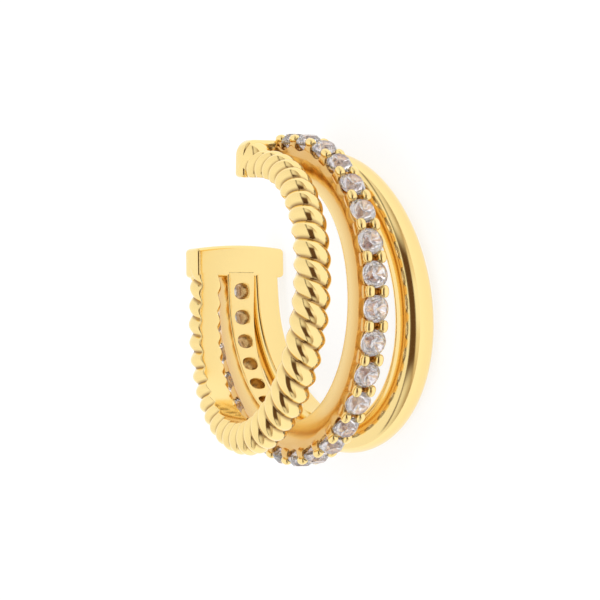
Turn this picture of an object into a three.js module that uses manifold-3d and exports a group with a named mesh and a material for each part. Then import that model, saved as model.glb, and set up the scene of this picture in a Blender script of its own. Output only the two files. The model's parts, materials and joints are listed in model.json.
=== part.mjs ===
// Ear cuff: a C-shaped cuff of three yellow gold bands, a rope wire, a row of round clear stones and a
// plain wire, joined by a solid bar at each end.
// Millimetres. Each piece is first described along a straight band, with x outward from the wire centre
// line, y along the band from the middle of the C and z across the bands, and is then laid round the C.
// The cuff lies on its plain band: the middle of the C faces -Y and its opening faces +Y.
import * as THREE from "three";
import { mergeVertices } from "three/addons/utils/BufferGeometryUtils.js";
import { ConvexGeometry } from "three/addons/geometries/ConvexGeometry.js";
import Module from "manifold-3d";

// Ring
const innerRadius = 4.7;
const arcHalfAngle = THREE.MathUtils.degToRad(133);
const leftStraight = 2.29;
const rightStraight = 1.8;

// Wires, from the flat inner face that all bands share
const flatToCentre = 0.56;
const ropeRadius = 0.75;
const ropeEndRadius = 0.62;
const ropeMiddleOffset = 2.48;
const ropeEndOffset = 1.36;
const ropeLead = 1.46;
const ropeGrooveDepth = 0.18;
const plainRadius = 0.745;
const plainEndRadius = 0.62;
const plainMiddleOffset = 2.36;
const plainEndOffset = 1.14;

// Stone rail
const railWidth = 0.96;
const railEndWidth = 1.26;
const railHeight = 0.84;
const stoneHoleDiameter = 0.62;

// Stones and the prongs between them
const stoneCount = 24;
const stoneGap = 0.125;
const rowEndGap = 0.01;
const stoneTableDiameter = 0.57;
const stoneCrownHeight = 0.18;
const stonePavilionDepth = 0.42;
const stoneGirdleHeight = 1.47;
const prongLength = 0.3;
const prongWidth = 0.26;
const prongChamfer = 0.07;
const prongRowOffset = 0.34;
const prongRootHeight = 0.7;
const prongTipHeight = 1.75;

// End bars
const barWidth = 3.94;
const barThickness = 1.47;
const leftBarLength = 1.23;
const rightBarLength = 0.74;
const barOuterRounding = 0.7;
const barInnerRounding = 0.16;
const barChamfer = 0.08;
const barLobeReach = 0.5;
const barLobeRadius = 0.71;

// Facets
const ropeSides = 12;
const plainSides = 12;
const plainSteps = 60;
const holeSides = 8;
const prongSides = 6;
const lobeSides = 12;
const stoneSides = 8;

const centreRadius = innerRadius + flatToCentre;
const arcHalfLength = centreRadius * arcHalfAngle;
const leftLength = arcHalfLength + leftStraight;
const rightLength = arcHalfLength + rightStraight;

// Each band starts and ends in the middle of an end bar.
const bandStart = leftBarLength / 2 - leftLength;
const bandEnd = rightLength - rightBarLength / 2;
const bandLength = bandEnd - bandStart;

// The row of stones fills the rail between the bars.
const rowStart = leftBarLength - leftLength + rowEndGap;
const rowEnd = rightLength - rightBarLength - rowEndGap;
const stonePitch = (rowEnd - rowStart) / stoneCount;
const stoneDiameter = stonePitch - stoneGap;

const wasm = await Module();
wasm.setup();

const gold = new THREE.MeshStandardMaterial({ color: 0xe6b54f, metalness: 1, roughness: 0.18 });
const stone = new THREE.MeshStandardMaterial({ color: 0xe8e2ea, metalness: 0, roughness: 0.05 });

// Solids and geometries

function solidOf(geometry) {
  const bare = geometry.clone();
  bare.deleteAttribute("normal");
  bare.deleteAttribute("uv");
  const merged = mergeVertices(bare, 1e-4);
  const vertProperties = new Float32Array(merged.attributes.position.array);
  const triVerts = new Uint32Array(merged.index.array);
  return new wasm.Manifold(new wasm.Mesh({ numProp: 3, vertProperties, triVerts }));
}

function geometryOf(solid) {
  const { vertProperties, triVerts } = solid.getMesh();
  const geometry = new THREE.BufferGeometry();
  geometry.setAttribute("position", new THREE.BufferAttribute(new Float32Array(vertProperties), 3));
  geometry.setIndex(new THREE.BufferAttribute(new Uint32Array(triVerts), 1));
  geometry.computeVertexNormals();
  return geometry;
}

function reshape(geometry, move) {
  const position = geometry.attributes.position;
  const point = new THREE.Vector3();
  for (let i = 0; i < position.count; i += 1) {
    point.fromBufferAttribute(position, i);
    move(point);
    position.setXYZ(i, point.x, point.y, point.z);
  }
  return geometry;
}

// Turns a geometry into its mirror image across z = 0, with its faces still pointing out.
function mirrored(geometry) {
  geometry.scale(1, 1, -1);
  const index = geometry.index;
  for (let i = 0; i < index.count; i += 3) {
    const first = index.getX(i);
    index.setX(i, index.getX(i + 1));
    index.setX(i + 1, first);
  }
  return geometry;
}

// The C: an arc with a short straight stretch at each end

function stationAt(along) {
  const onArc = THREE.MathUtils.clamp(along, -arcHalfLength, arcHalfLength);
  const angle = onArc / centreRadius;
  const outward = new THREE.Vector3(Math.sin(angle), -Math.cos(angle), 0);
  const forward = new THREE.Vector3(Math.cos(angle), Math.sin(angle), 0);
  const centre = outward.clone().multiplyScalar(centreRadius).addScaledVector(forward, along - onArc);
  return { outward, forward, centre };
}

// Lays a long straight geometry round the C.
function bent(geometry) {
  return reshape(geometry, (point) => {
    const { outward, forward, centre } = stationAt(point.y);
    const { x, z } = point;
    point.copy(centre).addScaledVector(outward, x);
    point.z = z;
  });
}

// Sets a small piece on the C without bending it.
function stationMatrix(along) {
  const { outward, forward, centre } = stationAt(along);
  const across = new THREE.Vector3(0, 0, 1);
  return new THREE.Matrix4().makeBasis(outward, forward, across).setPosition(centre);
}

function placed(geometry, along, outward, across) {
  return geometry.translate(outward, 0, across).applyMatrix4(stationMatrix(along));
}

// The outer bands part in the middle of the C and draw together at its ends.
function openness(along) {
  const length = along < 0 ? leftLength : rightLength;
  return 0.5 + 0.5 * Math.cos((Math.PI * along) / length);
}

// The rail widens as it comes to the end bars.
function railWidthAt(along) {
  return THREE.MathUtils.lerp(railWidth, railEndWidth, (1 - openness(along)) ** 6);
}

function stoneStations() {
  return Array.from({ length: stoneCount }, (_, i) => rowStart + (i + 0.5) * stonePitch);
}

// Metal

function ropeBand() {
  const step = ropeLead / ropeSides;
  const steps = Math.floor(bandLength / step);
  const length = steps * step;
  const middle = (bandStart + bandEnd) / 2;
  const straight = new THREE.CylinderGeometry(1, 1, length, ropeSides, steps);
  reshape(straight, (point) => {
    const around = Math.atan2(point.x, point.z);
    const twist = (2 * Math.PI * (point.y + length / 2)) / ropeLead;
    const lobe = Math.abs(Math.sin(around - twist));
    const wire = THREE.MathUtils.lerp(ropeEndRadius, ropeRadius, openness(point.y + middle));
    const radius = Math.hypot(point.x, point.z) * (wire - ropeGrooveDepth * (1 - lobe));
    point.x = Math.max(radius * Math.sin(around) + wire - ropeRadius, -flatToCentre);
    point.z = radius * Math.cos(around);
  });
  mirrored(straight);
  return bent(
    reshape(straight, (point) => {
      point.y += middle;
      point.z += THREE.MathUtils.lerp(ropeEndOffset, ropeMiddleOffset, openness(point.y));
    }),
  );
}

function plainBand() {
  const straight = new THREE.CylinderGeometry(1, 1, bandLength, plainSides, plainSteps);
  return bent(
    reshape(straight, (point) => {
      point.y += (bandStart + bandEnd) / 2;
      const open = openness(point.y);
      const radius = THREE.MathUtils.lerp(plainEndRadius, plainRadius, open);
      point.x = Math.max(point.x * radius + radius - plainRadius, -flatToCentre);
      point.z = point.z * radius - THREE.MathUtils.lerp(plainEndOffset, plainMiddleOffset, open);
    }),
  );
}

// The plain strip that the rail is cut from, with one flat facet under each stone.
function railBlank() {
  const cells = stoneCount + 2;
  const straight = new THREE.BoxGeometry(railHeight, cells * stonePitch, 1, 1, cells, 1);
  return bent(
    reshape(straight, (point) => {
      point.x += railHeight / 2 - flatToCentre;
      point.y = THREE.MathUtils.clamp(point.y + (rowStart + rowEnd) / 2, bandStart, bandEnd);
      point.z *= railWidthAt(point.y);
    }),
  );
}

function stoneHole(along) {
  const radius = stoneHoleDiameter / 2;
  const hole = new THREE.CylinderGeometry(radius, radius, 2 * railHeight, holeSides);
  return placed(hole.rotateZ(Math.PI / 2), along, 0, 0);
}

// A post with a chamfered tip, a little longer along the band than it is wide, which holds the stones
// on both sides of it.
function prong(along, across) {
  const tip = 1 - (2 * prongChamfer) / prongWidth;
  const profile = [
    new THREE.Vector2(0, prongRootHeight),
    new THREE.Vector2(1, prongRootHeight),
    new THREE.Vector2(1, prongTipHeight - prongChamfer),
    new THREE.Vector2(tip, prongTipHeight),
    new THREE.Vector2(0, prongTipHeight),
  ];
  const post = new THREE.LatheGeometry(profile, prongSides);
  post.rotateZ(-Math.PI / 2).scale(1, prongLength / 2, prongWidth / 2);
  return placed(post, along, -flatToCentre, across);
}

function endBarOutline() {
  const inside = -flatToCentre;
  const outside = barThickness - flatToCentre;
  const side = barWidth / 2;
  const quarter = Math.PI / 2;
  const shape = new THREE.Shape();
  const outer = barOuterRounding;
  const inner = barInnerRounding;
  shape.absarc(outside - outer, side - outer, outer, 0, quarter);
  shape.absarc(inside + inner, side - inner, inner, quarter, 2 * quarter);
  shape.absarc(inside + inner, inner - side, inner, 2 * quarter, 3 * quarter);
  shape.absarc(outside - outer, outer - side, outer, 3 * quarter, 4 * quarter);
  return shape;
}

// One end bar, with its flat end face at y = 0 and the cuff behind it.
function endBar(length) {
  const chamfers = { bevelSize: barChamfer, bevelOffset: -barChamfer, bevelThickness: barChamfer };
  const bar = new THREE.ExtrudeGeometry(endBarOutline(), {
    depth: length - 2 * barChamfer,
    curveSegments: 4,
    bevelSegments: 1,
    ...chamfers,
  });
  return bar.rotateX(-Math.PI / 2).translate(0, barChamfer - length, 0);
}

// A smooth lobe that runs from the end bar into the last of a wire and tapers to a point.
function barLobe(length, across) {
  const rings = 5;
  const profile = [new THREE.Vector2(0, -length)];
  for (let i = 1; i < rings; i += 1) {
    const turn = (i / rings) * (Math.PI / 2);
    profile.push(new THREE.Vector2(barLobeRadius * Math.sin(turn), -length * Math.cos(turn)));
  }
  profile.push(new THREE.Vector2(barLobeRadius, -barChamfer), new THREE.Vector2(0, -barChamfer));
  const lobe = new THREE.LatheGeometry(profile, lobeSides);
  return lobe.translate(barThickness / 2 - flatToCentre, 0, across);
}

function endSolid(length) {
  const across = barWidth / 2 - barLobeRadius;
  const lobe = length + barLobeReach;
  return wasm.Manifold.union([endBar(length), barLobe(lobe, across), barLobe(lobe, -across)].map(solidOf));
}

function leftEnd() {
  const matrix = stationMatrix(-leftLength).multiply(new THREE.Matrix4().makeRotationX(Math.PI));
  return solidOf(geometryOf(endSolid(leftBarLength)).applyMatrix4(matrix));
}

function rightEnd() {
  return solidOf(geometryOf(endSolid(rightBarLength)).applyMatrix4(stationMatrix(rightLength)));
}

function stoneRail() {
  const stations = stoneStations();
  const cuts = stations.map((along) => solidOf(stoneHole(along)));
  const rail = solidOf(railBlank()).subtract(wasm.Manifold.union(cuts));
  const between = [stations[0] - stonePitch / 2, ...stations.map((along) => along + stonePitch / 2)];
  const prongs = between.flatMap((along) => [
    solidOf(prong(along, prongRowOffset)),
    solidOf(prong(along, -prongRowOffset)),
  ]);
  return wasm.Manifold.union([rail, ...prongs]);
}

function cuffFrame() {
  const pieces = [solidOf(ropeBand()), solidOf(plainBand()), stoneRail(), leftEnd(), rightEnd()];
  const frame = new THREE.Mesh(geometryOf(wasm.Manifold.union(pieces)), gold);
  frame.name = "cuff_frame";
  return frame;
}

// Stones

// A cut stone with its table toward +x: a table, star and girdle facets, and a pointed pavilion.
function cutStone() {
  const points = [new THREE.Vector3(-stonePavilionDepth, 0, 0)];
  for (let i = 0; i < 2 * stoneSides; i += 1) {
    const turn = (i * Math.PI) / stoneSides;
    const girdle = stoneDiameter / 2;
    points.push(new THREE.Vector3(0, girdle * Math.cos(turn), girdle * Math.sin(turn)));
    if (i % 2 === 0) {
      const table = stoneTableDiameter / 2;
      points.push(new THREE.Vector3(stoneCrownHeight, table * Math.cos(turn), table * Math.sin(turn)));
    }
  }
  return new ConvexGeometry(points);
}

function stones() {
  const geometry = cutStone();
  return stoneStations().map((along, i) => {
    const mesh = new THREE.Mesh(geometry, stone);
    mesh.name = `stone_${String(i + 1).padStart(2, "0")}`;
    const lift = new THREE.Matrix4().makeTranslation(stoneGirdleHeight - flatToCentre, 0, 0);
    mesh.applyMatrix4(stationMatrix(along).multiply(lift));
    return mesh;
  });
}

// Rest: the steepest floor that still passes under every point of the cuff, found at the ring's axis.

function heightOverAxis(points, slope) {
  return Math.min(...points.map(([y, z]) => z - slope * y));
}

function floorSlope(frame) {
  const position = frame.geometry.attributes.position;
  const points = Array.from({ length: position.count }, (_, i) => [position.getY(i), position.getZ(i)]);
  let low = -1;
  let high = 1;
  while (high - low > 1e-6) {
    const third = (high - low) / 3;
    if (heightOverAxis(points, low + third) < heightOverAxis(points, high - third)) low += third;
    else high -= third;
  }
  return (low + high) / 2;
}

const frame = cuffFrame();
const ring = new THREE.Group();
ring.add(frame, ...stones());
ring.rotation.x = -Math.atan(floorSlope(frame));

const cuff = new THREE.Group();
cuff.add(ring);
const box = new THREE.Box3().setFromObject(cuff, true);
ring.position.set(-(box.min.x + box.max.x) / 2, -(box.min.y + box.max.y) / 2, -box.min.z);

export default cuff;
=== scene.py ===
"""Ear cuff of three gold bands, a rope wire, a row of clear stones and a plain wire, lying on its side.

Sizes are in millimetres until a mesh is laid round the cuff. A piece is first shaped along a straight band:
x is the height over the inner face, y runs along the band from the middle of the C, and z runs across it.
"""

import json
import math

import bmesh
import bpy
from mathutils import Matrix, Vector


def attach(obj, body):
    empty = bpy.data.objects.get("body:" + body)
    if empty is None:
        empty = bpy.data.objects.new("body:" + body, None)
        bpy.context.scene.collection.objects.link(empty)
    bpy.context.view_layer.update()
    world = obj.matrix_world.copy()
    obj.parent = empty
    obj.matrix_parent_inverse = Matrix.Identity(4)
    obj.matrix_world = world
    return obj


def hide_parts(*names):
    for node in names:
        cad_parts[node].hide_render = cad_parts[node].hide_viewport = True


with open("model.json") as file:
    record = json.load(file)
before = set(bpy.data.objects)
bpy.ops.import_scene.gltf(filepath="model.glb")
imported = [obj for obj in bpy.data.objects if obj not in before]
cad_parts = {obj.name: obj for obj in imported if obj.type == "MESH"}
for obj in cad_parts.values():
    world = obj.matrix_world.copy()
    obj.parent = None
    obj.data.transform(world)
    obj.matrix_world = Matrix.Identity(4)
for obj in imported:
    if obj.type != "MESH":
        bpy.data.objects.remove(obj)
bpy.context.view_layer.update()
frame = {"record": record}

MM = 0.001

# How near two points are when they are merged: on a straight mesh, and on one laid round the cuff
SAME_POINT = 1e-4
SAME_POINT_METRES = 1e-8

# Ring
INNER_RADIUS = 4.7
ARC_HALF_ANGLE = math.radians(133)
LEFT_STRAIGHT = 2.29
RIGHT_STRAIGHT = 1.8

# Wires
FLAT_TO_CENTRE = 0.56
FLAT_EDGE_ROUNDING = 0.035
ROPE_RADIUS = 0.75
ROPE_END_RADIUS = 0.62
ROPE_MIDDLE_OFFSET = 2.48
ROPE_END_OFFSET = 1.36
ROPE_LEAD = 1.46
ROPE_GROOVE_DEPTH = 0.2
ROPE_LOBE_FULLNESS = 0.85
ROPE_VALLEY_SHARE = 0.25
# The painted shade in the rope's grooves reaches out this share of the way from a groove to a crest.
ROPE_SHADE_WIDTH = 0.3
ROPE_SMOOTH_BELOW = -0.92
ROPE_FULL_ABOVE = -0.58
ROPE_SIDES = 72
ROPE_STEPS = 900
PLAIN_RADIUS = 0.745
PLAIN_END_RADIUS = 0.62
PLAIN_MIDDLE_OFFSET = 2.36
PLAIN_END_OFFSET = 1.14
PLAIN_SIDES = 56
PLAIN_STEPS = 300

# Stone rail. The shares are of the way from a stone's hole to the edge of its cell. Each end step is how far
# the rim is drawn past the bar's rounded edge, and the least height that it then has.
RAIL_WIDTH = 0.9
RAIL_END_WIDTH = 1.26
RAIL_WIDENING_POWER = 6
RAIL_HEIGHT = 0.86
RAIL_EDGE = 0.06
RAIL_SOFT_EDGE = 0.3 * RAIL_EDGE
# The rail's painted shade grows from none on its inner face to full at this height, and stays full over its
# walls and gallery.
RAIL_SHADE_HEIGHT = 0.3
RAIL_CELL_SIDES = 96
RAIL_END_STEPS = ((0.03, 0), (0.04, 0), (0.05, 0.1))
GALLERY_INSET = 0.09
GALLERY_FOOT_INSET = 0.2 * GALLERY_INSET
GALLERY_LOW = 1.1
GALLERY_HIGH = 1.25
GALLERY_SHARES = (0.3, 0.55, 0.8, 1)
INNER_FACE_SHARES = (1, 0.7, 0.4, 0.12)
HOLE_EDGE_SHARE = 0.05
STONE_HOLE_RADIUS = 0.31

# Stones. The star and lower heights are shares of the crown and of the pavilion.
STONE_COUNT = 24
ROW_END_GAP = 0.01
STONE_RADIUS = 0.51
STONE_TABLE_RADIUS = 0.3
STONE_CROWN = 0.3
STONE_STAR_HEIGHT = 0.62
STONE_STAR_RADIUS = 0.405
STONE_PAVILION = 0.44
STONE_LOWER_HEIGHT = 0.55
STONE_LOWER_RADIUS = 0.245
STONE_GIRDLE_EDGE = 0.09
STONE_GIRDLE_HEIGHT = 1.42
STONE_FACETS = 8
STONE_GIRDLE_SIDES = 32
STONE_FLAT_ANGLE = 0.02
STONE_TURN = 0.37

# Prongs
PRONG_ROW_OFFSET = 0.295
PRONG_LENGTH = 0.48
PRONG_BEAD = 0.37
PRONG_BEAD_SQUARENESS = 0.8
PRONG_POST_SHARE = 0.84
PRONG_POST_SQUARENESS = 0.5
PRONG_FLARE = 0.6
PRONG_ROOT_HEIGHT = 0.95
PRONG_TIP_HEIGHT = 1.7
PRONG_SEGMENTS = 24
PRONG_RINGS = 16

# End bars. A lobe is widest at a share of the bar's length, and its front reaches out by a share of that.
BAR_WIDTH = 3.94
BAR_THICKNESS = 1.47
LEFT_BAR_LENGTH = 1.23
RIGHT_BAR_LENGTH = 0.74
BAR_OUTER_ROUNDING = 0.62
BAR_OUTER_SEGMENTS = 12
BAR_EDGE_ROUNDING = 0.17
BAR_EDGE_SEGMENTS = 5
BAR_SHARP_ANGLE = 0.6
BAR_SLICES = 16
BAR_DOME = 0.14
BAR_DOME_MIDDLE = 0.35
BAR_LOBE_REACH = 0.5
BAR_LOBE_RADIUS = 0.71
BAR_LOBE_OVERHANG = 0.015
BAR_LOBE_WIDEST = 0.42
BAR_LOBE_FRONT = 0.3
BAR_LOBE_SEGMENTS = 40
BAR_LOBE_RINGS = 30

CENTRE_RADIUS = INNER_RADIUS + FLAT_TO_CENTRE
ARC_HALF_LENGTH = CENTRE_RADIUS * ARC_HALF_ANGLE
LEFT_LENGTH = ARC_HALF_LENGTH + LEFT_STRAIGHT
RIGHT_LENGTH = ARC_HALF_LENGTH + RIGHT_STRAIGHT
BAND_START = LEFT_BAR_LENGTH / 2 - LEFT_LENGTH
BAND_END = RIGHT_LENGTH - RIGHT_BAR_LENGTH / 2
ROW_START = LEFT_BAR_LENGTH - LEFT_LENGTH + ROW_END_GAP
ROW_END = RIGHT_LENGTH - RIGHT_BAR_LENGTH - ROW_END_GAP
STONE_PITCH = (ROW_END - ROW_START) / STONE_COUNT
STONE_STATIONS = [ROW_START + (i + 0.5) * STONE_PITCH for i in range(STONE_COUNT)]

# The ring's place comes from the record: its centre, and its axis, which leans in the YZ plane.
ear_seat = next(m for m in frame["record"]["mounts"] if m["name"] == "ear_seat")
RING_CENTRE = Vector(ear_seat["pos_m"])
RING_LEAN = math.atan2(ear_seat["axis"][1], ear_seat["axis"][2])
RING = Matrix.Translation(RING_CENTRE) @ Matrix.Rotation(-RING_LEAN, 4, "X")


# The C

def station(along):
    """The outward and forward directions and the inner face's point at a distance along the band, in mm."""
    on_arc = max(-ARC_HALF_LENGTH, min(ARC_HALF_LENGTH, along))
    angle = on_arc / CENTRE_RADIUS
    outward = Vector((math.sin(angle), -math.cos(angle), 0))
    forward = Vector((math.cos(angle), math.sin(angle), 0))
    return outward, forward, outward * INNER_RADIUS + forward * (along - on_arc)


def bend(mesh):
    """Lays a long straight mesh round the cuff, in metres."""
    for vert in mesh.verts:
        outward, forward, base = station(vert.co.y)
        vert.co = RING @ ((base + outward * vert.co.x + Vector((0, 0, vert.co.z))) * MM)


def place(mesh, along):
    """Sets a small mesh on the cuff without bending it, in metres."""
    outward, forward, base = station(along)
    across = Vector((0, 0, 1))
    turn = Matrix((outward, forward, across)).transposed().to_4x4()
    matrix = RING @ Matrix.Scale(MM, 4) @ Matrix.Translation(base) @ turn
    bmesh.ops.transform(mesh, matrix=matrix, verts=mesh.verts)


def mix(low, high, share):
    return low + (high - low) * share


def openness(along):
    """How far the outer bands have parted: 1 in the middle of the C, 0 at its ends."""
    return 0.5 + 0.5 * math.cos(math.pi * along / (LEFT_LENGTH if along < 0 else RIGHT_LENGTH))


def rail_width(along):
    """The rail widens as it comes to the end bars."""
    return mix(RAIL_WIDTH, RAIL_END_WIDTH, (1 - openness(along)) ** RAIL_WIDENING_POWER)


def smooth_step(share):
    share = max(0, min(1, share))
    return share * share * (3 - 2 * share)


def soft_floor(value, floor, rounding):
    """Keeps a value over a floor, with a rounded corner where it meets it."""
    over = value - floor
    return floor + 0.5 * (over + math.sqrt(over * over + rounding * rounding))


# Mesh helpers

def sheet_of(columns, rows):
    """A grid whose x and y run from 0 to 1, to be rolled or folded into a surface."""
    mesh = bmesh.new()
    bmesh.ops.create_grid(mesh, x_segments=columns, y_segments=rows, size=0.5)
    bmesh.ops.translate(mesh, vec=(0.5, 0.5, 0), verts=mesh.verts)
    return mesh


def ball_along_band(mesh, segments, rings):
    """Adds a unit sphere whose poles point along the band, and returns its vertices."""
    ball = bmesh.ops.create_uvsphere(mesh, u_segments=segments, v_segments=rings, radius=1)["verts"]
    bmesh.ops.rotate(mesh, matrix=Matrix.Rotation(math.pi / 2, 3, "X"), verts=ball)
    return ball


def close_up(mesh):
    """Merges a laid mesh's seams, fills its open ends and points its faces outwards."""
    bmesh.ops.remove_doubles(mesh, verts=mesh.verts, dist=SAME_POINT_METRES)
    rims = [edge for edge in mesh.edges if edge.is_boundary]
    if rims:
        bmesh.ops.holes_fill(mesh, edges=rims)
    bmesh.ops.recalc_face_normals(mesh, faces=mesh.faces)


def piece(name, mesh, material, smooth=True):
    """Makes a finished bmesh one piece of the cuff, with its place in its mesh."""
    data = bpy.data.meshes.new(name)
    mesh.to_mesh(data)
    mesh.free()
    for polygon in data.polygons:
        polygon.use_smooth = smooth
    data.materials.append(material)
    made = bpy.data.objects.new(name, data)
    bpy.context.scene.collection.objects.link(made)
    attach(made, "root")
    return made


# Metal pieces

def wire(sides, steps, shape, shade_of=None):
    """A wire along the band. shape gives its height and its place across from the angle round it.

    The last argument gives how deep in a groove a point lies, from 0 to 1, and darkens the gold by that
    share as painted shade.
    """
    mesh = sheet_of(sides, steps)
    shade_layer = mesh.verts.layers.float.new("groove")
    for vert in mesh.verts:
        around = 2 * math.pi * vert.co.x
        along = mix(BAND_START, BAND_END, vert.co.y)
        height, across = shape(around, along)
        vert[shade_layer] = shade_of(around, along) if shade_of else 0
        vert.co = (soft_floor(height, 0, FLAT_EDGE_ROUNDING), along, across)
    bend(mesh)
    close_up(mesh)
    return mesh


def from_crest_to_groove(around, along):
    """0 on the crest of a strand of the rope and 1 in the groove between two strands."""
    twist = 2 * math.pi * along / ROPE_LEAD
    return abs((around + twist) / math.pi % 1 * 2 - 1)


def rope_carving(around):
    """The rope's inner side is worn smooth, so the grooves run out before they reach it."""
    return smooth_step((math.sin(around) - ROPE_SMOOTH_BELOW) / (ROPE_FULL_ABOVE - ROPE_SMOOTH_BELOW))


# Painted shade in the rope: none on the strands, up to full deep in the grooves, and none on the smooth
# inner side.
def rope_groove_shade(around, along):
    valley = (from_crest_to_groove(around, along) - 1 + ROPE_SHADE_WIDTH) / ROPE_SHADE_WIDTH
    return smooth_step(valley) * rope_carving(around)


def rope_section(around, along):
    """Two full rounded strands, with a groove between them, that turn as they go along."""
    from_crest = from_crest_to_groove(around, along)
    low = math.sqrt(1 - ROPE_LOBE_FULLNESS)
    full = (math.sqrt(1 - ROPE_LOBE_FULLNESS * from_crest**2) - low) / (1 - low)
    wave = 0.5 + 0.5 * math.cos(math.pi * from_crest)
    crest = mix(full, wave, ROPE_VALLEY_SHARE)
    carved = rope_carving(around)
    open_share = openness(along)
    wire_radius = mix(ROPE_END_RADIUS, ROPE_RADIUS, open_share)
    radius = wire_radius - ROPE_GROOVE_DEPTH * (1 - crest) * carved
    height = FLAT_TO_CENTRE + wire_radius - ROPE_RADIUS
    centre = mix(ROPE_END_OFFSET, ROPE_MIDDLE_OFFSET, open_share)
    return height + radius * math.sin(around), centre + radius * math.cos(around)


def plain_section(around, along):
    open_share = openness(along)
    radius = mix(PLAIN_END_RADIUS, PLAIN_RADIUS, open_share)
    height = FLAT_TO_CENTRE + radius - PLAIN_RADIUS
    centre = mix(PLAIN_END_OFFSET, PLAIN_MIDDLE_OFFSET, open_share)
    return height + radius * math.sin(around), radius * math.cos(around) - centre


def gallery_top(along):
    """The height of the raised middle of the rail: low under the stone, high where the prongs stand."""
    return mix(GALLERY_HIGH, GALLERY_LOW, math.cos(math.pi * along / STONE_PITCH) ** 2)


def cell_rings():
    """The loops round one stone's hole: share of the way from hole to cell edge, inset, and height.

    They run up the side of the hole, over the gallery's edge, down its slanted flank and the side wall
    below it, and in over the inner face.
    """
    edge, soft, inset = RAIL_EDGE, RAIL_SOFT_EDGE, GALLERY_INSET
    hole = [(0, 0, lambda y: edge), (0, 0, lambda y: RAIL_HEIGHT - 2 * edge)]
    seat = [(share, inset + edge, gallery_top) for share in GALLERY_SHARES]
    flank_top = (1, inset + soft, lambda y: gallery_top(y) - soft)
    flank_foot = (1, inset, lambda y: gallery_top(y) - edge)
    wall = [(1, GALLERY_FOOT_INSET, lambda y: RAIL_HEIGHT + edge), (1, 0, lambda y: RAIL_HEIGHT)]
    foot = [(1, 0, lambda y: edge), (1, soft, lambda y: soft)]
    inner_face = [(share, edge, lambda y: 0) for share in INNER_FACE_SHARES]
    hole_edge = (HOLE_EDGE_SHARE, edge, lambda y: soft)
    rings = [*hole, *seat, flank_top, flank_foot, *wall, *foot, *inner_face, hole_edge]
    return rings + rings[:1]


def rail_cell(middle):
    """One stone's length of the rail, open where it meets the next."""
    rings = cell_rings()
    mesh = sheet_of(RAIL_CELL_SIDES, len(rings) - 1)
    for vert in mesh.verts:
        turn = 2 * math.pi * vert.co.x
        share, inset, height = rings[round(vert.co.y * (len(rings) - 1))]
        around = Vector((math.cos(turn), math.sin(turn)))
        square = around / max(abs(around.x), abs(around.y))
        y = mix(STONE_HOLE_RADIUS * around.x, square.x * STONE_PITCH / 2, share)
        half_width = rail_width(middle + y) / 2 - inset
        z = mix(STONE_HOLE_RADIUS * around.y, square.y * half_width, share)
        vert.co = (height(y), y, z)
    reach = STONE_PITCH / 2 - SAME_POINT
    shared = [face for face in mesh.faces if all(abs(vert.co.y) > reach for vert in face.verts)]
    bmesh.ops.delete(mesh, geom=shared, context="FACES")
    bmesh.ops.translate(mesh, vec=(0, middle, 0), verts=mesh.verts)
    return mesh


def add_to(mesh, part):
    """Joins a finished part to a mesh and frees it."""
    data = bpy.data.meshes.new("part")
    part.to_mesh(data)
    part.free()
    mesh.from_mesh(data)
    bpy.data.meshes.remove(data)


def stone_rail():
    mesh = bmesh.new()
    for along in STONE_STATIONS:
        add_to(mesh, rail_cell(along))
    bmesh.ops.remove_doubles(mesh, verts=mesh.verts, dist=SAME_POINT)
    # The rim at each end is drawn out into the end bar, past the bar's rounded edge, and then sinks in it.
    for side, last in ((-1, STONE_STATIONS[0]), (1, STONE_STATIONS[-1])):
        for reach, lift in RAIL_END_STEPS:
            rim = [edge for edge in mesh.edges if edge.is_boundary]
            rim = [edge for edge in rim if all(abs(vert.co.y - last) < STONE_PITCH for vert in edge.verts)]
            drawn = bmesh.ops.extrude_edge_only(mesh, edges=rim)["geom"]
            for vert in (item for item in drawn if isinstance(item, bmesh.types.BMVert)):
                vert.co.x = max(vert.co.x, lift)
                vert.co.y = last + side * (STONE_PITCH / 2 + BAR_EDGE_ROUNDING + reach)
    # Painted shade: the rail darkens to a warm shade colour from its inner face up, over its walls and
    # gallery.
    shade_layer = mesh.verts.layers.float.new("groove")
    for vert in mesh.verts:
        vert[shade_layer] = smooth_step(vert.co.x / RAIL_SHADE_HEIGHT)
    bend(mesh)
    close_up(mesh)
    return mesh


def barrel(vert, squareness):
    """Moves a unit sphere's point out to a barrel with rounded ends, whose axis is y."""
    around = math.hypot(vert.co.x, vert.co.z)
    y = math.copysign(abs(vert.co.y) ** squareness, vert.co.y)
    scale = around**squareness / around if around > 1e-6 else 1
    return vert.co.x * scale, y, vert.co.z * scale


def prong_mesh(across):
    """A round bead that lies along the band, on a post that widens down to the rail."""
    mesh = bmesh.new()
    shade_layer = mesh.verts.layers.float.new("groove")
    bead = PRONG_BEAD / 2
    middle = PRONG_TIP_HEIGHT - bead
    post_middle = (middle + PRONG_ROOT_HEIGHT) / 2
    post = (middle - PRONG_ROOT_HEIGHT) / 2
    share = PRONG_POST_SHARE
    for height, tall, long, wide, squareness in (
        (middle, bead, PRONG_LENGTH / 2, bead, PRONG_BEAD_SQUARENESS),
        (post_middle, post, share * PRONG_LENGTH / 2, share * bead, PRONG_POST_SQUARENESS),
    ):
        for vert in ball_along_band(mesh, PRONG_SEGMENTS, PRONG_RINGS):
            x, y, z = barrel(vert, squareness)
            low = smooth_step((middle - height - x * tall) / (middle - PRONG_ROOT_HEIGHT))
            vert.co = (height + x * tall, y * long * (1 + PRONG_FLARE * low), across + z * wide)
            # Painted shade: the prong darkens from the bead's middle down over its post.
            vert[shade_layer] = smooth_step((middle - vert.co.x) / bead)
    return mesh


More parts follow.
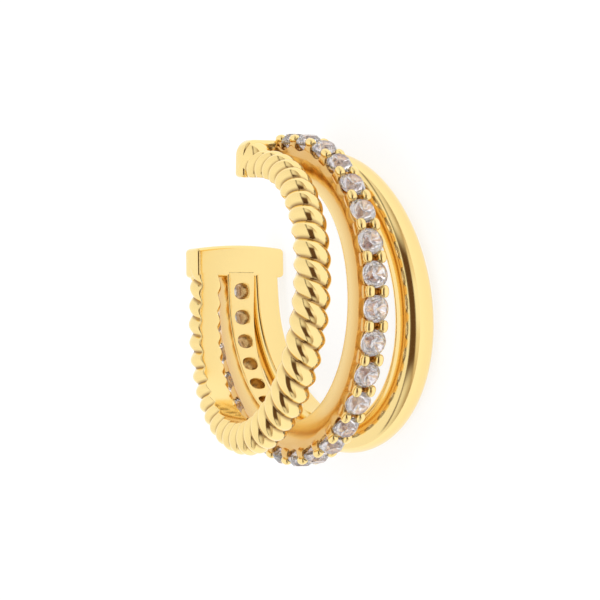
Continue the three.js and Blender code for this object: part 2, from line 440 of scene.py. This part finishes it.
def prongs():
    """Both rows of prongs, with one at each end of the stones and one between each two."""
    mesh = bmesh.new()
    stations = [STONE_STATIONS[0] - STONE_PITCH / 2] + [along + STONE_PITCH / 2 for along in STONE_STATIONS]
    for across in (PRONG_ROW_OFFSET, -PRONG_ROW_OFFSET):
        for along in stations:
            one = prong_mesh(across)
            place(one, along)
            add_to(mesh, one)
    bmesh.ops.recalc_face_normals(mesh, faces=mesh.faces)
    return mesh


def round_off(mesh, edges, rounding, segments):
    bmesh.ops.bevel(
        mesh, geom=edges, offset=rounding, segments=segments, profile=0.5, affect="EDGES", material=-1
    )


def rounded_bar(length):
    """A block with round outer corners, soft edges and a slightly domed end face at y = 0."""
    mesh = bmesh.new()
    bmesh.ops.create_cube(mesh, size=1)
    bmesh.ops.scale(mesh, vec=(BAR_THICKNESS, length, BAR_WIDTH), verts=mesh.verts)
    bmesh.ops.translate(mesh, vec=(BAR_THICKNESS / 2, -length / 2, 0), verts=mesh.verts)
    outer = [edge for edge in mesh.edges if all(vert.co.x > BAR_THICKNESS / 2 for vert in edge.verts)]
    corners = [edge for edge in outer if abs(edge.verts[0].co.y - edge.verts[1].co.y) > length / 2]
    round_off(mesh, corners, BAR_OUTER_ROUNDING, BAR_OUTER_SEGMENTS)
    sharp = [edge for edge in mesh.edges if edge.calc_face_angle(0) > BAR_SHARP_ANGLE]
    round_off(mesh, sharp, BAR_EDGE_ROUNDING, BAR_EDGE_SEGMENTS)
    for i in range(1, BAR_SLICES):
        cut = (0, 0, mix(-BAR_WIDTH / 2, BAR_WIDTH / 2, i / BAR_SLICES))
        everything = mesh.verts[:] + mesh.edges[:] + mesh.faces[:]
        bmesh.ops.bisect_plane(mesh, geom=everything, plane_co=cut, plane_no=(0, 0, 1))
    for vert in mesh.verts:
        near_end = smooth_step(1 + 2 * vert.co.y / length)
        vert.co.y += near_end * BAR_DOME * (BAR_DOME_MIDDLE - (2 * vert.co.z / BAR_WIDTH) ** 2)
    return mesh


def end_bar(end, length):
    """The solid bar at one end, with a smooth lobe over the last of each wire."""
    mesh = rounded_bar(length)
    widest = -BAR_LOBE_WIDEST * length
    for side in (-1, 1):
        across = side * (BAR_WIDTH / 2 + BAR_LOBE_OVERHANG - BAR_LOBE_RADIUS)
        for vert in ball_along_band(mesh, BAR_LOBE_SEGMENTS, BAR_LOBE_RINGS):
            x, y, z = vert.co
            reach = length + BAR_LOBE_REACH + widest if y < 0 else -BAR_LOBE_FRONT * widest
            height = BAR_THICKNESS / 2 + x * BAR_LOBE_RADIUS
            vert.co = (height, widest + y * reach, across + z * BAR_LOBE_RADIUS)
    if end < 0:
        bmesh.ops.rotate(mesh, matrix=Matrix.Rotation(math.pi, 3, "X"), verts=mesh.verts)
    place(mesh, -LEFT_LENGTH if end < 0 else RIGHT_LENGTH)
    bmesh.ops.recalc_face_normals(mesh, faces=mesh.faces)
    return mesh


# Stones

def cut_stone(along, turn):
    """A round brilliant with its table up: table, star, kite, girdle and pavilion facets."""
    mesh = bmesh.new()
    bmesh.ops.create_vert(mesh, co=(-STONE_PAVILION, 0, 0))

    def loop(height, radius, count, offset):
        for i in range(count):
            angle = 2 * math.pi * (i + offset) / count
            bmesh.ops.create_vert(mesh, co=(height, radius * math.cos(angle), radius * math.sin(angle)))

    loop(STONE_CROWN, STONE_TABLE_RADIUS, STONE_FACETS, 0.5)
    loop(STONE_STAR_HEIGHT * STONE_CROWN, STONE_STAR_RADIUS, STONE_FACETS, 0)
    loop(STONE_GIRDLE_EDGE / 2, STONE_RADIUS, STONE_GIRDLE_SIDES, 0)
    loop(-STONE_GIRDLE_EDGE / 2, STONE_RADIUS, STONE_GIRDLE_SIDES, 0)
    loop(-STONE_LOWER_HEIGHT * STONE_PAVILION, STONE_LOWER_RADIUS, STONE_FACETS, 0.5)
    bmesh.ops.convex_hull(mesh, input=mesh.verts)
    bmesh.ops.dissolve_limit(mesh, angle_limit=STONE_FLAT_ANGLE, verts=mesh.verts, edges=mesh.edges)
    bmesh.ops.rotate(mesh, matrix=Matrix.Rotation(turn, 3, "X"), verts=mesh.verts)
    bmesh.ops.translate(mesh, vec=(STONE_GIRDLE_HEIGHT, 0, 0), verts=mesh.verts)
    place(mesh, along)
    bmesh.ops.recalc_face_normals(mesh, faces=mesh.faces)
    return mesh


# Materials

YELLOW_GOLD = (1.0, 0.775, 0.34)
SATIN_YELLOW_GOLD = (1.0, 0.77, 0.34)
# Painted shade colours: in the rope's grooves, and on the rail's walls and the prongs' posts.
ROPE_GROOVE_SHADE = (0.42, 0.25, 0.1)
WARM_SHADE = (0.8, 0.5, 0.18)
POLISHED = {"Roughness": 0.12, "Spread": 0.05, "Scale": 700, "Depth": 0.04}
SATIN = {"Roughness": 0.22, "Spread": 0.06, "Scale": 1400, "Depth": 0.06}
POLISHING_DETAIL = 3
POLISHING_BUMP = 0.02
STONE_ROUGHNESS = 0.03
STONE_IOR = 2.1
STONE_TRANSMISSION = 0.85
# Painted reflections in the stones: the scale of their spots, and a colour for each share of spots.
STONE_REFLECTION_SCALE = 9500
STONE_PAINTED_REFLECTIONS = (
    (0.0, (0.42, 0.33, 0.31)),
    (0.12, (1.0, 0.97, 1.0)),
    (0.4, (0.86, 0.79, 0.84)),
    (0.6, (1.0, 1.0, 1.0)),
    (0.85, (0.9, 0.78, 0.73)),
)


def set_stops(ramp, interpolation, stops):
    """Gives a colour ramp its colours and their places, from 0 to 1."""
    ramp.interpolation = interpolation
    for i, (position, color) in enumerate(stops):
        stop = ramp.elements[i] if i < 2 else ramp.elements.new(position)
        stop.position = position
        stop.color = (*color, 1)


def gold_finish():
    """Shared by the gold materials: fine polishing unevenness in roughness and in the surface."""
    group = bpy.data.node_groups.new("gold_finish", "ShaderNodeTree")
    face = group.interface
    for name, value in POLISHED.items():
        face.new_socket(name, in_out="INPUT", socket_type="NodeSocketFloat").default_value = value
    face.new_socket("Roughness", in_out="OUTPUT", socket_type="NodeSocketFloat")
    face.new_socket("Normal", in_out="OUTPUT", socket_type="NodeSocketVector")
    nodes, links = group.nodes, group.links
    inside = nodes.new("NodeGroupInput")
    outside = nodes.new("NodeGroupOutput")
    where = nodes.new("ShaderNodeTexCoord")
    noise = nodes.new("ShaderNodeTexNoise")
    noise.inputs["Detail"].default_value = POLISHING_DETAIL
    links.new(where.outputs["Object"], noise.inputs["Vector"])
    links.new(inside.outputs["Scale"], noise.inputs["Scale"])
    centred = nodes.new("ShaderNodeMath")
    centred.operation = "SUBTRACT"
    centred.inputs[1].default_value = 0.5
    links.new(noise.outputs["Fac"], centred.inputs[0])
    spread = nodes.new("ShaderNodeMath")
    spread.operation = "MULTIPLY_ADD"
    links.new(centred.outputs[0], spread.inputs[0])
    links.new(inside.outputs["Spread"], spread.inputs[1])
    links.new(inside.outputs["Roughness"], spread.inputs[2])
    links.new(spread.outputs[0], outside.inputs["Roughness"])
    bump = nodes.new("ShaderNodeBump")
    bump.inputs["Distance"].default_value = POLISHING_BUMP * MM
    links.new(noise.outputs["Fac"], bump.inputs["Height"])
    links.new(inside.outputs["Depth"], bump.inputs["Strength"])
    links.new(bump.outputs["Normal"], outside.inputs["Normal"])
    return group


def gold(name, color, finish):
    material = bpy.data.materials.new(name)
    material.use_nodes = True
    nodes, links = material.node_tree.nodes, material.node_tree.links
    shader = nodes["Principled BSDF"]
    shader.inputs["Base Color"].default_value = (*color, 1)
    shader.inputs["Metallic"].default_value = 1
    polish = nodes.new("ShaderNodeGroup")
    polish.node_tree = GOLD_FINISH
    for socket, value in finish.items():
        polish.inputs[socket].default_value = value
    links.new(polish.outputs["Roughness"], shader.inputs["Roughness"])
    links.new(polish.outputs["Normal"], shader.inputs["Normal"])
    return material


def gold_with_painted_shade(name, color, shade_color, finish):
    """Gold with painted shade: its colour turns to a darker shade colour as the mesh's groove attribute
    rises.
    """
    material = gold(name, color, finish)
    nodes, links = material.node_tree.nodes, material.node_tree.links
    groove = nodes.new("ShaderNodeAttribute")
    groove.attribute_name = "groove"
    tone = nodes.new("ShaderNodeMix")
    tone.data_type = "RGBA"
    tone.inputs["A"].default_value = (*color, 1)
    tone.inputs["B"].default_value = (*shade_color, 1)
    links.new(groove.outputs["Fac"], tone.inputs["Factor"])
    links.new(tone.outputs["Result"], nodes["Principled BSDF"].inputs["Base Color"])
    return material


def clear_stone():
    """Clear, with painted reflections: dark, pinkish and white spots that stand in for the light in cut
    facets.
    """
    material = bpy.data.materials.new("clear_stone")
    material.use_nodes = True
    nodes, links = material.node_tree.nodes, material.node_tree.links
    shader = nodes["Principled BSDF"]
    shader.inputs["Roughness"].default_value = STONE_ROUGHNESS
    shader.inputs["IOR"].default_value = STONE_IOR
    shader.inputs["Transmission Weight"].default_value = STONE_TRANSMISSION
    where = nodes.new("ShaderNodeTexCoord")
    cells = nodes.new("ShaderNodeTexVoronoi")
    cells.inputs["Scale"].default_value = STONE_REFLECTION_SCALE
    split = nodes.new("ShaderNodeSeparateColor")
    reflection_spots = nodes.new("ShaderNodeValToRGB")
    set_stops(reflection_spots.color_ramp, "CONSTANT", STONE_PAINTED_REFLECTIONS)
    links.new(where.outputs["Object"], cells.inputs["Vector"])
    links.new(cells.outputs["Color"], split.inputs["Color"])
    links.new(split.outputs["Red"], reflection_spots.inputs["Fac"])
    links.new(reflection_spots.outputs["Color"], shader.inputs["Base Color"])
    return material


GOLD_FINISH = gold_finish()
rope_gold = gold_with_painted_shade("rope_gold", YELLOW_GOLD, ROPE_GROOVE_SHADE, POLISHED)
bright_gold = gold("bright_gold", YELLOW_GOLD, POLISHED)
prong_gold = gold_with_painted_shade("prong_gold", YELLOW_GOLD, WARM_SHADE, POLISHED)
satin_gold = gold_with_painted_shade("satin_gold", SATIN_YELLOW_GOLD, WARM_SHADE, SATIN)
stone_material = clear_stone()

# The cuff

metal_pieces = [
    piece("rope_band", wire(ROPE_SIDES, ROPE_STEPS, rope_section, rope_groove_shade), rope_gold),
    piece("plain_band", wire(PLAIN_SIDES, PLAIN_STEPS, plain_section), bright_gold),
    piece("stone_rail", stone_rail(), satin_gold),
    piece("prongs", prongs(), prong_gold),
    piece("end_bar_left", end_bar(-1, LEFT_BAR_LENGTH), bright_gold),
    piece("end_bar_right", end_bar(1, RIGHT_BAR_LENGTH), bright_gold),
]
for metal in metal_pieces:
    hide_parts("cuff_frame")
for i, along in enumerate(STONE_STATIONS):
    number = f"{i + 1:02d}"
    cut = cut_stone(along, STONE_TURN * i)
    stone = piece(f"cut_stone_{number}", cut, stone_material, smooth=False)
    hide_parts(f"stone_{number}")

# Floor and lamps

FLOOR_SIZE = 3.0
FLOOR_GREY = 0.28
FLOOR_ROUGHNESS = 0.9
FLOOR_GLOW = 0.75


def lit_sheet():
    """A pale sheet that glows a little, so that shadows on it stay faint."""
    material = bpy.data.materials.new("lit_sheet")
    material.use_nodes = True
    shader = material.node_tree.nodes["Principled BSDF"]
    shader.inputs["Base Color"].default_value = (FLOOR_GREY, FLOOR_GREY, FLOOR_GREY, 1)
    shader.inputs["Roughness"].default_value = FLOOR_ROUGHNESS
    shader.inputs["Specular IOR Level"].default_value = 0
    shader.inputs["Emission Color"].default_value = (1, 1, 1, 1)
    shader.inputs["Emission Strength"].default_value = FLOOR_GLOW
    return material


floor_mesh = bmesh.new()
bmesh.ops.create_grid(floor_mesh, x_segments=1, y_segments=1, size=FLOOR_SIZE / 2)
floor_data = bpy.data.meshes.new("floor")
floor_mesh.to_mesh(floor_data)
floor_mesh.free()
floor_data.materials.append(lit_sheet())
floor = bpy.data.objects.new("floor", floor_data)
bpy.context.scene.collection.objects.link(floor)


def area_light(name, azimuth, elevation, distance, size, power):
    """A soft square lamp that faces the cuff. Azimuth 0 is the side that the C's middle faces."""
    data = bpy.data.lights.new(name, "AREA")
    data.size = size
    data.energy = power
    lamp = bpy.data.objects.new(name, data)
    a, e = math.radians(azimuth), math.radians(elevation)
    direction = Vector((math.sin(a) * math.cos(e), -math.cos(a) * math.cos(e), math.sin(e)))
    lamp.location = RING_CENTRE + direction * distance
    lamp.rotation_euler = direction.to_track_quat("Z", "Y").to_euler()
    lamp.visible_glossy = False
    bpy.context.scene.collection.objects.link(lamp)


area_light("key_light", azimuth=120, elevation=55, distance=0.3, size=0.16, power=0.12)
area_light("fill_light", azimuth=-30, elevation=50, distance=0.3, size=0.2, power=0.08)

# The photograph's view: the camera looks across the ring, and its up direction lies in the ring's plane

IMAGE_SIZE = 600
MM_PER_PIXEL = 0.0387
RING_CENTRE_PIXEL = (297.7, 300.0)
CAMERA_DISTANCE = 129.0
CAMERA_NEAR = 10.0
CAMERA_ELEVATION = math.radians(28.4)
CAMERA_TURN = math.radians(45.2)
SENSOR = 36.0

ring_turn = RING.to_3x3()
ring_axis = Vector((0, 0, 1))
facing = Vector((math.sin(CAMERA_TURN), -math.cos(CAMERA_TURN), 0))
toward = ring_turn @ (facing * math.cos(CAMERA_ELEVATION) + ring_axis * math.sin(CAMERA_ELEVATION))
up = ring_turn @ ring_axis.cross(facing)
right = up.cross(toward)

# The studio that the gold mirrors: white walls, and on the photographer's side a dark opening between them.
# The opening's plane holds the direction up the picture, and lies a little left of the camera. The walls
# grow duller up and down the picture, and on the left only faintly. Each pair below is the cosine of the
# angle to a direction, and a colour or a share.

OPENING_TURN = math.radians(9)
OPENING_NORMAL = right * math.cos(OPENING_TURN) + toward * math.sin(OPENING_TURN)
BLACK = (0.0, 0.0, 0.0)
FAINT = (0.12, 0.12, 0.12)
HALF = (0.5, 0.5, 0.5)
WHITE = (1.0, 1.0, 1.0)
PALE = (0.85, 0.76, 0.66)
GREY = (0.66, 0.55, 0.44)
DUSK = (0.48, 0.38, 0.28)
DARK_ROOM = (0.11, 0.055, 0.025)
OPENING_STOPS = (
    (-1.0, BLACK), (-0.33, BLACK), (-0.24, WHITE), (0.22, WHITE), (0.31, BLACK), (1.0, BLACK)
)
OPENING_EDGE_STOPS = (
    (-1.0, BLACK), (-0.36, BLACK), (-0.28, WHITE), (-0.2, BLACK), (0.24, BLACK), (0.28, HALF), (0.32, BLACK)
)
OPENING_HEIGHT_STOPS = (
    (-1.0, FAINT), (-0.9, FAINT), (-0.65, WHITE), (0.4, WHITE), (0.75, FAINT), (1.0, FAINT)
)
OPENING_FRONT_STOPS = ((-1.0, BLACK), (-0.3, BLACK), (0.0, WHITE), (1.0, WHITE))
SIDE_STOPS = ((-1.0, FAINT), (-0.2, FAINT), (0.2, WHITE), (1.0, WHITE))
WALL_STOPS = (
    (-1.0, DUSK), (-0.8, GREY), (-0.5, PALE), (-0.2, WHITE),
    (0.1, WHITE), (0.4, PALE), (0.7, GREY), (0.95, DUSK),
)


def studio_world():
    """Mirrored rays see the studio, and all other rays see plain white."""
    world = bpy.data.worlds.new("studio")
    world.use_nodes = True
    nodes, links = world.node_tree.nodes, world.node_tree.links
    nodes.clear()
    out = nodes.new("ShaderNodeOutputWorld")
    where = nodes.new("ShaderNodeTexCoord")

    def ramp_along(direction, stops):
        """Colours over the cosine of the angle to a direction, from -1 to 1."""
        dot = nodes.new("ShaderNodeVectorMath")
        dot.operation = "DOT_PRODUCT"
        dot.inputs[1].default_value = direction
        links.new(where.outputs["Generated"], dot.inputs[0])
        wide = nodes.new("ShaderNodeMapRange")
        wide.inputs["From Min"].default_value = -1
        links.new(dot.outputs["Value"], wide.inputs["Value"])
        ramp = nodes.new("ShaderNodeValToRGB")
        set_stops(ramp.color_ramp, "EASE", [(0.5 + 0.5 * cosine, color) for cosine, color in stops])
        links.new(wide.outputs["Result"], ramp.inputs["Fac"])
        return ramp.outputs["Color"]

    def joined(operation, first, second):
        join = nodes.new("ShaderNodeMath")
        join.operation = operation
        join.use_clamp = True
        links.new(first, join.inputs[0])
        links.new(second, join.inputs[1])
        return join.outputs["Value"]

    between = ramp_along(OPENING_NORMAL, OPENING_STOPS)
    edges = ramp_along(OPENING_NORMAL, OPENING_EDGE_STOPS)
    inside = joined("MULTIPLY", between, ramp_along(up, OPENING_HEIGHT_STOPS))
    framed = joined("MAXIMUM", inside, edges)
    opening = joined("MULTIPLY", framed, ramp_along(toward, OPENING_FRONT_STOPS))
    walls = nodes.new("ShaderNodeMix")
    walls.data_type = "RGBA"
    walls.inputs["A"].default_value = (*WHITE, 1)
    links.new(ramp_along(right, SIDE_STOPS), walls.inputs["Factor"])
    links.new(ramp_along(up, WALL_STOPS), walls.inputs["B"])
    room = nodes.new("ShaderNodeMix")
    room.data_type = "RGBA"
    room.inputs["B"].default_value = (*DARK_ROOM, 1)
    links.new(opening, room.inputs["Factor"])
    links.new(walls.outputs["Result"], room.inputs["A"])

    studio = nodes.new("ShaderNodeBackground")
    links.new(room.outputs["Result"], studio.inputs["Color"])
    white = nodes.new("ShaderNodeBackground")
    white.inputs["Color"].default_value = (*WHITE, 1)
    path = nodes.new("ShaderNodeLightPath")
    mirrored = joined("SUBTRACT", path.outputs["Is Glossy Ray"], path.outputs["Is Transmission Ray"])
    choose = nodes.new("ShaderNodeMixShader")
    links.new(mirrored, choose.inputs["Fac"])
    links.new(white.outputs["Background"], choose.inputs[1])
    links.new(studio.outputs["Background"], choose.inputs[2])
    links.new(choose.outputs["Shader"], out.inputs["Surface"])
    return world


bpy.context.scene.world = studio_world()
bpy.context.scene.view_settings.view_transform = "Standard"

# Camera

camera_data = bpy.data.cameras.new("camera")
camera_data.sensor_width = SENSOR
camera_data.lens = SENSOR * CAMERA_DISTANCE / (IMAGE_SIZE * MM_PER_PIXEL)
camera_data.clip_start = CAMERA_NEAR * MM
camera = bpy.data.objects.new("camera", camera_data)
pixels_right = IMAGE_SIZE / 2 - RING_CENTRE_PIXEL[0]
pixels_up = RING_CENTRE_PIXEL[1] - IMAGE_SIZE / 2
offset = (right * pixels_right + up * pixels_up) * MM_PER_PIXEL * MM
stand = Matrix.Translation(RING_CENTRE + offset + toward * CAMERA_DISTANCE * MM)
camera.matrix_world = stand @ Matrix((right, up, toward)).transposed().to_4x4()
bpy.context.scene.collection.objects.link(camera)
bpy.context.scene.camera = camera
